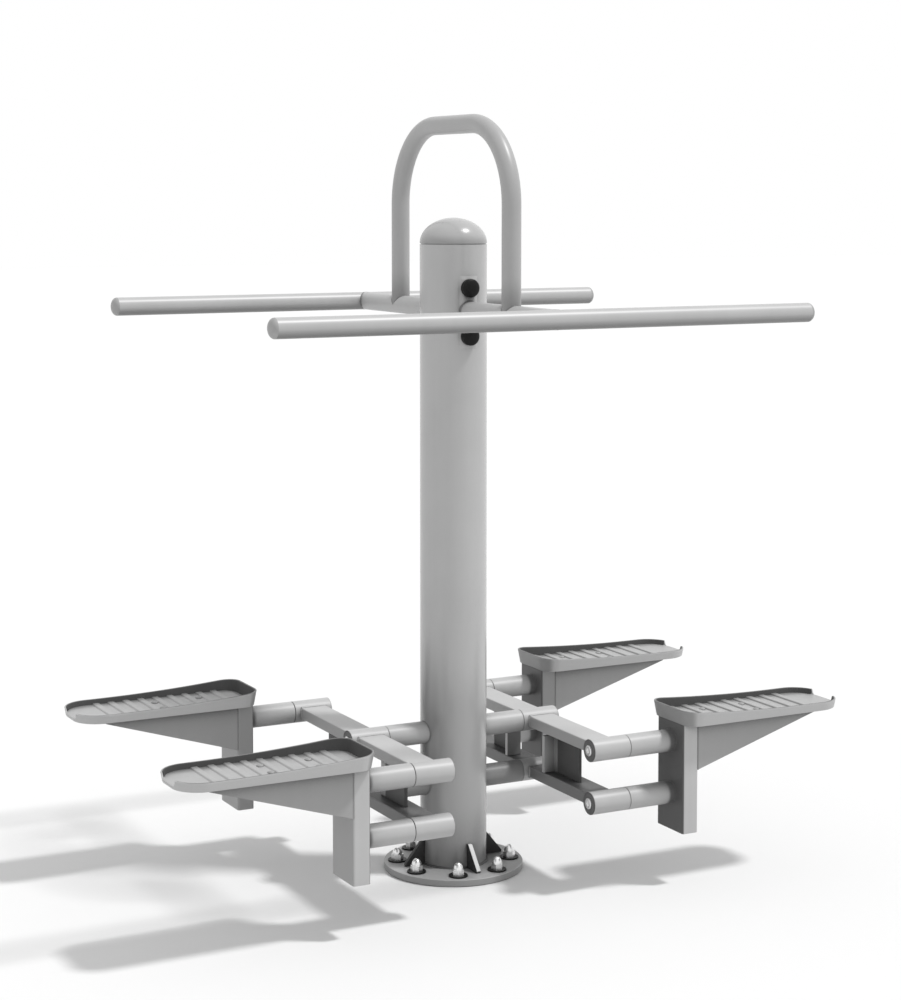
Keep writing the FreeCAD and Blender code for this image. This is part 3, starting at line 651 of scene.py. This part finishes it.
def rim_profile(top):
    """Inset and height of the tray's edge, from its underside over the rim to its floor."""
    wall = top - TREAD_FLOOR
    crown = max(min(RIM_THICKNESS / 2, wall), RIM_EDGE)
    low = top - crown
    middle_line = RIM_THICKNESS / 2 + draft(max(low, TREAD_FLOOR))
    profile = [
        (draft(0) + RIM_EDGE, 0.0),
        (draft(0) + RIM_EDGE * ROUND_SHARE, RIM_EDGE * ROUND_SHARE),
        (draft(RIM_EDGE), RIM_EDGE),
    ]
    for part in range(RIM_STEPS + 1):
        angle = math.pi * part / RIM_STEPS
        height = low + math.sin(angle) * crown
        if part > RIM_STEPS / 2:
            height = max(height, TREAD_FLOOR)
        profile.append((middle_line - math.cos(angle) * RIM_THICKNESS / 2, height))
    inner = RIM_THICKNESS + draft(TREAD_FLOOR)
    rise = min(RIM_FILLET, wall)
    profile += [
        (inner, TREAD_FLOOR + rise),
        (inner + RIM_FILLET * ROUND_SHARE, TREAD_FLOOR + rise * ROUND_SHARE),
        (inner + RIM_FILLET, TREAD_FLOOR),
    ]
    return profile


def settle(seat, x, y, z):
    """A point of the drawing at its place on the object."""
    return seat @ Vector((x * MM, y * MM, z * MM))


def edge_ring(seat, station, profile):
    """The points of a profile of insets and heights at a station of the outline."""
    (x, y), (out_x, out_y) = station
    return [settle(seat, x - out_x * inset, y - out_y * inset, z) for inset, z in profile]


def tray(bm, seat):
    """The tray: its edge swept round the outline, closed by the floor and the underside."""
    rings = []
    for station in tread_outline():
        profile = rim_profile(rim_height(*station[0]))
        rings.append([bm.verts.new(place) for place in edge_ring(seat, station, profile)])
    for here, after in zip(rings, rings[1:] + rings[:1]):
        for index in range(len(here) - 1):
            bm.faces.new((here[index], here[index + 1], after[index + 1], after[index]))
    bm.faces.new([ring[0] for ring in rings])
    bm.faces.new([ring[-1] for ring in reversed(rings)])


def rib(bm, seat, x):
    """One rib across the floor, with drafted sides and rounded edges."""
    profile = RIB_FLANK + [(-across, height) for across, height in reversed(RIB_FLANK)]
    rings = []
    for y in (-RIB_HALF, RIB_HALF):
        ring = [(x + across, y, TREAD_FLOOR + height) for across, height in profile]
        rings.append([settle(seat, *place) for place in ring])
    skin(bm, rings, closed=False)


def dark_strip(bm, seat):
    """Dark strip, in the rubber finish, inside the rim from one end of the heel's gap to the
    other.
    """
    back = RIM_THICKNESS - DARK_STRIP_SINK
    foot = TREAD_FLOOR - DARK_STRIP_FOOT
    foot_back = back + draft(TREAD_FLOOR)
    rings = []
    for station in tread_outline():
        wall = rim_height(*station[0]) - TREAD_FLOOR
        if wall < DARK_STRIP_LEAST:
            continue
        top = TREAD_FLOOR + wall * DARK_STRIP_SHARE
        lip = [(back + draft(top) + inset, top - drop) for inset, drop in DARK_STRIP_LIP]
        profile = [(foot_back, foot)] + lip + [(foot_back + DARK_STRIP_THICKNESS, foot)]
        rings.append(edge_ring(seat, station, profile))
    skin(bm, rings, closed=False)


for side, turned in SIDES.items():
    turn = Matrix.Rotation(math.radians(turned), 4, "Z")
    for end in ENDS:
        name = f"{side}_{end}"
        low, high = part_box(f"{name}_footplate")
        toe = min(abs(low.x), abs(high.x))
        underside = Matrix.Translation((0.0, (low.y + high.y) / 2, low.z))
        seat = underside @ turn @ Matrix.Translation((toe, 0.0, 0.0))
        plate = bmesh.new()
        tray(plate, seat)
        for index in range(RIB_COUNT):
            rib(plate, seat, RIB_FIRST + RIB_PITCH * index)
        pedal = f"{name}_pedal"
        add_piece(f"{name}_ribbed_tray", plate, pedal, "tread_alloy", f"{name}_footplate")
        strip = bmesh.new()
        dark_strip(strip, seat)
        add_piece(f"{name}_rim_dark_strip", strip, pedal, "rubber")


# Saddle plates under the arms, faired into the post

POST_RADIUS = 57.15 * MM
SADDLE_RADIUS = 59.15 * MM
SADDLE_SINK = 0.3 * MM
SADDLE_FEATHER = 9.0 * MM
SADDLE_COLUMNS = 24
SADDLE_ROWS = 72


def faired_saddle(bm, low, high, way):
    """Curved plate on the post. Its thickness runs out to nothing along its edges."""
    half_angle = math.asin(high.x / POST_RADIUS)
    rings = []
    for row in range(SADDLE_ROWS + 1):
        z = low.z + (high.z - low.z) * row / SADDLE_ROWS
        rise = Vector((0.0, 0.0, z))
        outside = []
        inside = []
        for column in range(SADDLE_COLUMNS + 1):
            angle = half_angle * (2 * column / SADDLE_COLUMNS - 1)
            edge = min((half_angle - abs(angle)) * POST_RADIUS, z - low.z, high.z - z)
            share = ease(min(edge / SADDLE_FEATHER, 1.0))
            ray = Vector((math.sin(angle), way * math.cos(angle), 0.0))
            outside.append(ray * (POST_RADIUS + (SADDLE_RADIUS - POST_RADIUS) * share) + rise)
            inside.append(ray * (POST_RADIUS - SADDLE_SINK) + rise)
        rings.append(outside + inside[::-1])
    skin(bm, rings, closed=False)


for end, way in ENDS.items():
    saddle = bmesh.new()
    faired_saddle(saddle, *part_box(f"{end}_saddle"), way)
    add_piece(f"{end}_faired_saddle", saddle, "stand", "grey_paint", f"{end}_saddle")


# Weld beads where tubes, bars and plates meet

BEAD_SIDES = 8
WELD_STEPS = 160
RIPPLE_LENGTH = 4.0 * MM
RIPPLE_SHARE = 0.1
SEAM_RIPPLE_SHARE = 0.06
SEAM_RIPPLE_STEPS = 4
THINNEST_SHARE = 0.1
BAR_CORNER = 3.0 * MM
BAR_RADIUS = 16.0 * MM
PIVOT_RADIUS = 19.0 * MM
LEG_PLACE = 203.5 * MM
BEAD = 1.8 * MM
BASE_BEAD = 3.0 * MM
SLEEVE_BEAD = 1.2 * MM
STUB_BEAD = 0.8 * MM
SEAM_BEAD = 2.2 * MM
SEAM_DEPTH = 1.9 * MM


def circle(steps):
    """Cosine and sine at even steps round a circle."""
    angles = [math.tau * part / steps for part in range(steps)]
    return [(math.cos(angle), math.sin(angle)) for angle in angles]


def bead(bm, path, radius):
    """A closed, finely rippled bead along a path of (place, away, share of the radius)."""
    count = len(path)
    length = sum((path[index][0] - path[index - 1][0]).length for index in range(count))
    ripples = max(round(length / RIPPLE_LENGTH), 1)
    rings = []
    for index, (place, away, share) in enumerate(path):
        forward = (path[(index + 1) % count][0] - path[index - 1][0]).normalized()
        across = forward.cross(away).normalized()
        outward = across.cross(forward)
        ripple = 1 + RIPPLE_SHARE * math.cos(math.tau * ripples * index / count)
        swell = radius * share * ripple
        section = [cosine * across + sine * outward for cosine, sine in circle(BEAD_SIDES)]
        rings.append([place + swell * ray for ray in section])
    skin(bm, rings, closed=True)


def round_weld(bm, basis, bead_radius, station):
    """Bead round the basis's Z. The station gives the place and the share in a direction."""
    path = []
    for across, along in circle(WELD_STEPS):
        place, share = station(across, along)
        away = basis.to_3x3() @ Vector((across, along, 1.0))
        path.append((basis @ Vector(place), away, share))
    bead(bm, path, bead_radius)


def branch_weld(bm, radius, main_radius, basis, bead_radius):
    """Bead where a tube along the basis's Z stands on another along its Y.

    It thins out where the two tubes run into each other."""

    def station(across, along):
        x, y = radius * across, radius * along
        rise = math.sqrt(max(main_radius ** 2 - x ** 2, 0.0))
        return (x, y, rise), min(THINNEST_SHARE + rise / main_radius, 1.0)

    round_weld(bm, basis, bead_radius, station)


def ring_weld(bm, radius, basis, bead_radius):
    """Bead round a tube's end on a flat face, which the basis's Z points out of."""

    def station(across, along):
        return (radius * across, radius * along, 0.0), 1.0

    round_weld(bm, basis, bead_radius, station)


def bar_weld(bm, half_width, half_thickness, tube_radius, basis, bead_radius):
    """Bead round a flat bar's end on a tube along the basis's X. The bar leaves along its Z."""

    def on_outline(half, direction):
        limit = half - BAR_CORNER
        return max(-limit, min(limit, 2 * half_width * direction)) + BAR_CORNER * direction

    def station(across, along):
        x, y = on_outline(half_width, across), on_outline(half_thickness, along)
        return (x, y, math.sqrt(tube_radius ** 2 - y ** 2)), 1.0

    round_weld(bm, basis, bead_radius, station)


def seam_weld(bm, start, end, radius):
    """Straight bead that fills the groove of an upright seam."""
    steps = round((end - start).length / RIPPLE_LENGTH * SEAM_RIPPLE_STEPS)
    rings = []
    for index in range(steps + 1):
        place = start.lerp(end, index / steps)
        ripple = 1 + SEAM_RIPPLE_SHARE * math.cos(math.tau * index / SEAM_RIPPLE_STEPS)
        swell = radius * ripple
        section = [Vector((across, along, 0.0)) for across, along in circle(BEAD_SIDES)]
        rings.append([place + swell * ray for ray in section])
    skin(bm, rings, closed=False)


def axes(origin, x, y, z):
    """Matrix with its axes along three directions, at an origin."""
    basis = Matrix((x, y, z)).transposed().to_4x4()
    basis.translation = origin
    return basis


def middle(node):
    low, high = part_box(node)
    return (low + high) / 2


base_weld = bmesh.new()
flange_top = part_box("base_flange")[1].z
ring_weld(base_weld, POST_RADIUS, Matrix.Translation((0, 0, flange_top)), BASE_BEAD)
add_piece("base_weld", base_weld, "stand", "dark_paint", coat=BASE_WELD)

stand_welds = bmesh.new()
bar_height = middle("front_handlebar").z
for way in ENDS.values():
    bar_place = way * abs(middle("front_handlebar").y)
    to_post = axes((0, bar_place, bar_height), (0, 0, way), (1, 0, 0), (0, -way, 0))
    branch_weld(stand_welds, BAR_RADIUS, BAR_RADIUS, to_post, BEAD)
    from_post = axes((0, 0, bar_height), (way, 0, 0), (0, 0, -1), (0, way, 0))
    branch_weld(stand_welds, BAR_RADIUS, SADDLE_RADIUS, from_post, BEAD)
    leg = axes((0, way * LEG_PLACE, bar_height), (1, 0, 0), (0, 1, 0), (0, 0, 1))
    branch_weld(stand_welds, BAR_RADIUS, BAR_RADIUS, leg, BEAD)
    for level in LEVELS:
        height = middle(f"{level}_cross_sleeve").z
        sleeve = axes((0, 0, height), (0, way, 0), (0, 0, 1), (way, 0, 0))
        branch_weld(stand_welds, PIVOT_RADIUS, POST_RADIUS, sleeve, SLEEVE_BEAD)
add_piece("stand_welds", stand_welds, "stand", "grey_paint", coat=STAND_WELD)

for side in SIDES:
    for level in LEVELS:
        rocker = f"{side}_{level}_rocker"
        low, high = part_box(f"{side}_{level}_arms")
        centre = (low + high) / 2
        half = (high - low) / 2
        rocker_welds = bmesh.new()
        for start, way in ((0, -1), (0, 1), (-PIVOT_REACH, 1), (PIVOT_REACH, -1)):
            basis = axes((centre.x, start, centre.z), (1, 0, 0), (0, 0, -way), (0, way, 0))
            bar_weld(rocker_welds, half.x, half.z, PIVOT_RADIUS, basis, BEAD)
        add_piece(f"{rocker}_welds", rocker_welds, rocker, "grey_paint")
    for end in ENDS:
        pedal = f"{side}_{end}_pedal"
        low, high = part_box(f"{side}_{end}_bracket")
        inner, outer, way = (low.x, high.x, -1) if side == "right" else (high.x, low.x, 1)
        pedal_welds = bmesh.new()
        for level in LEVELS:
            place = (inner, (low.y + high.y) / 2, middle(f"{level}_cross_sleeve").z)
            basis = axes(place, (0, way, 0), (0, 0, 1), (way, 0, 0))
            ring_weld(pedal_welds, PIVOT_RADIUS, basis, STUB_BEAD)
        gusset_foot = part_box(f"{side}_{end}_gusset")[0].z
        for seam in (low.y + SEAM_DEPTH, high.y - SEAM_DEPTH):
            seam_foot = Vector((outer, seam, gusset_foot))
            seam_top = Vector((outer, seam, high.z))
            seam_weld(pedal_welds, seam_foot, seam_top, SEAM_BEAD)
        add_piece(f"{pedal}_welds", pedal_welds, pedal, "grey_paint", coat=PEDAL_WELD)


# Floor, light and camera

FLOOR_SIZE = 60.0
FLOOR_DROP = 0.2 * MM
FLOOR_LIT = 0.62
FLOOR_SEEN = 0.9
SKY_LIGHT = 0.65
SKY_SEEN = 0.35
SUN_STRENGTH = 1.74
SUN_SPREAD = math.radians(6)
SUN_FROM = (0.48, -0.29, 1.0)
CAMERA_LENS = 79.084
CAMERA_SENSOR = 36.0
CAMERA_SHIFT = -0.15
CAMERA_PLACE = (-1.7231, -3.3137, 1.1593)
CAMERA_TILT = math.radians(90 - 4.036)
CAMERA_TURN = math.radians(-27.399)


def floor_finish():
    """Pale floor, seen white in full light, with its shadow. It is clear from below."""
    graph = Graph(bpy.data.materials.new("floor"))
    lit = graph.node("ShaderNodeBsdfDiffuse", sockets={"Color": grey(FLOOR_LIT)})
    seen = graph.node("ShaderNodeBsdfDiffuse", sockets={"Color": grey(FLOOR_SEEN)})
    mixed = graph.node("ShaderNodeMixShader", sockets={0: graph.shown(), 1: lit, 2: seen})
    clear = graph.node("ShaderNodeBsdfTransparent")
    below = graph.node("ShaderNodeNewGeometry", output="Backfacing")
    one_sided = graph.node("ShaderNodeMixShader", sockets={0: below, 1: mixed, 2: clear})
    graph.node("ShaderNodeOutputMaterial", sockets={"Surface": one_sided})
    return graph.owner


bpy.ops.mesh.primitive_plane_add(size=FLOOR_SIZE, location=(0.0, 0.0, -FLOOR_DROP))
floor = bpy.context.object
floor.name = "floor"
floor.data.materials.append(floor_finish())

studio = bpy.data.worlds.new("studio")
scene.world = studio
sky = Graph(studio)
strength = sky.shown() * SKY_SEEN + SKY_LIGHT
glow = sky.node("ShaderNodeBackground", sockets={"Color": grey(1.0), "Strength": strength})
sky.node("ShaderNodeOutputWorld", sockets={"Surface": glow})

lamp = bpy.data.lights.new("key", "SUN")
lamp.energy = SUN_STRENGTH
lamp.angle = SUN_SPREAD
key = bpy.data.objects.new("key", lamp)
scene.collection.objects.link(key)
key.rotation_euler = Vector(SUN_FROM).to_track_quat("Z", "Y").to_euler()

camera_data = bpy.data.cameras.new("camera")
camera_data.lens = CAMERA_LENS
camera_data.sensor_width = CAMERA_SENSOR
camera_data.shift_y = CAMERA_SHIFT
camera = bpy.data.objects.new("camera", camera_data)
scene.collection.objects.link(camera)
camera.location = CAMERA_PLACE
camera.rotation_euler = (CAMERA_TILT, 0, CAMERA_TURN)
scene.camera = camera

scene.view_settings.view_transform = "Standard"
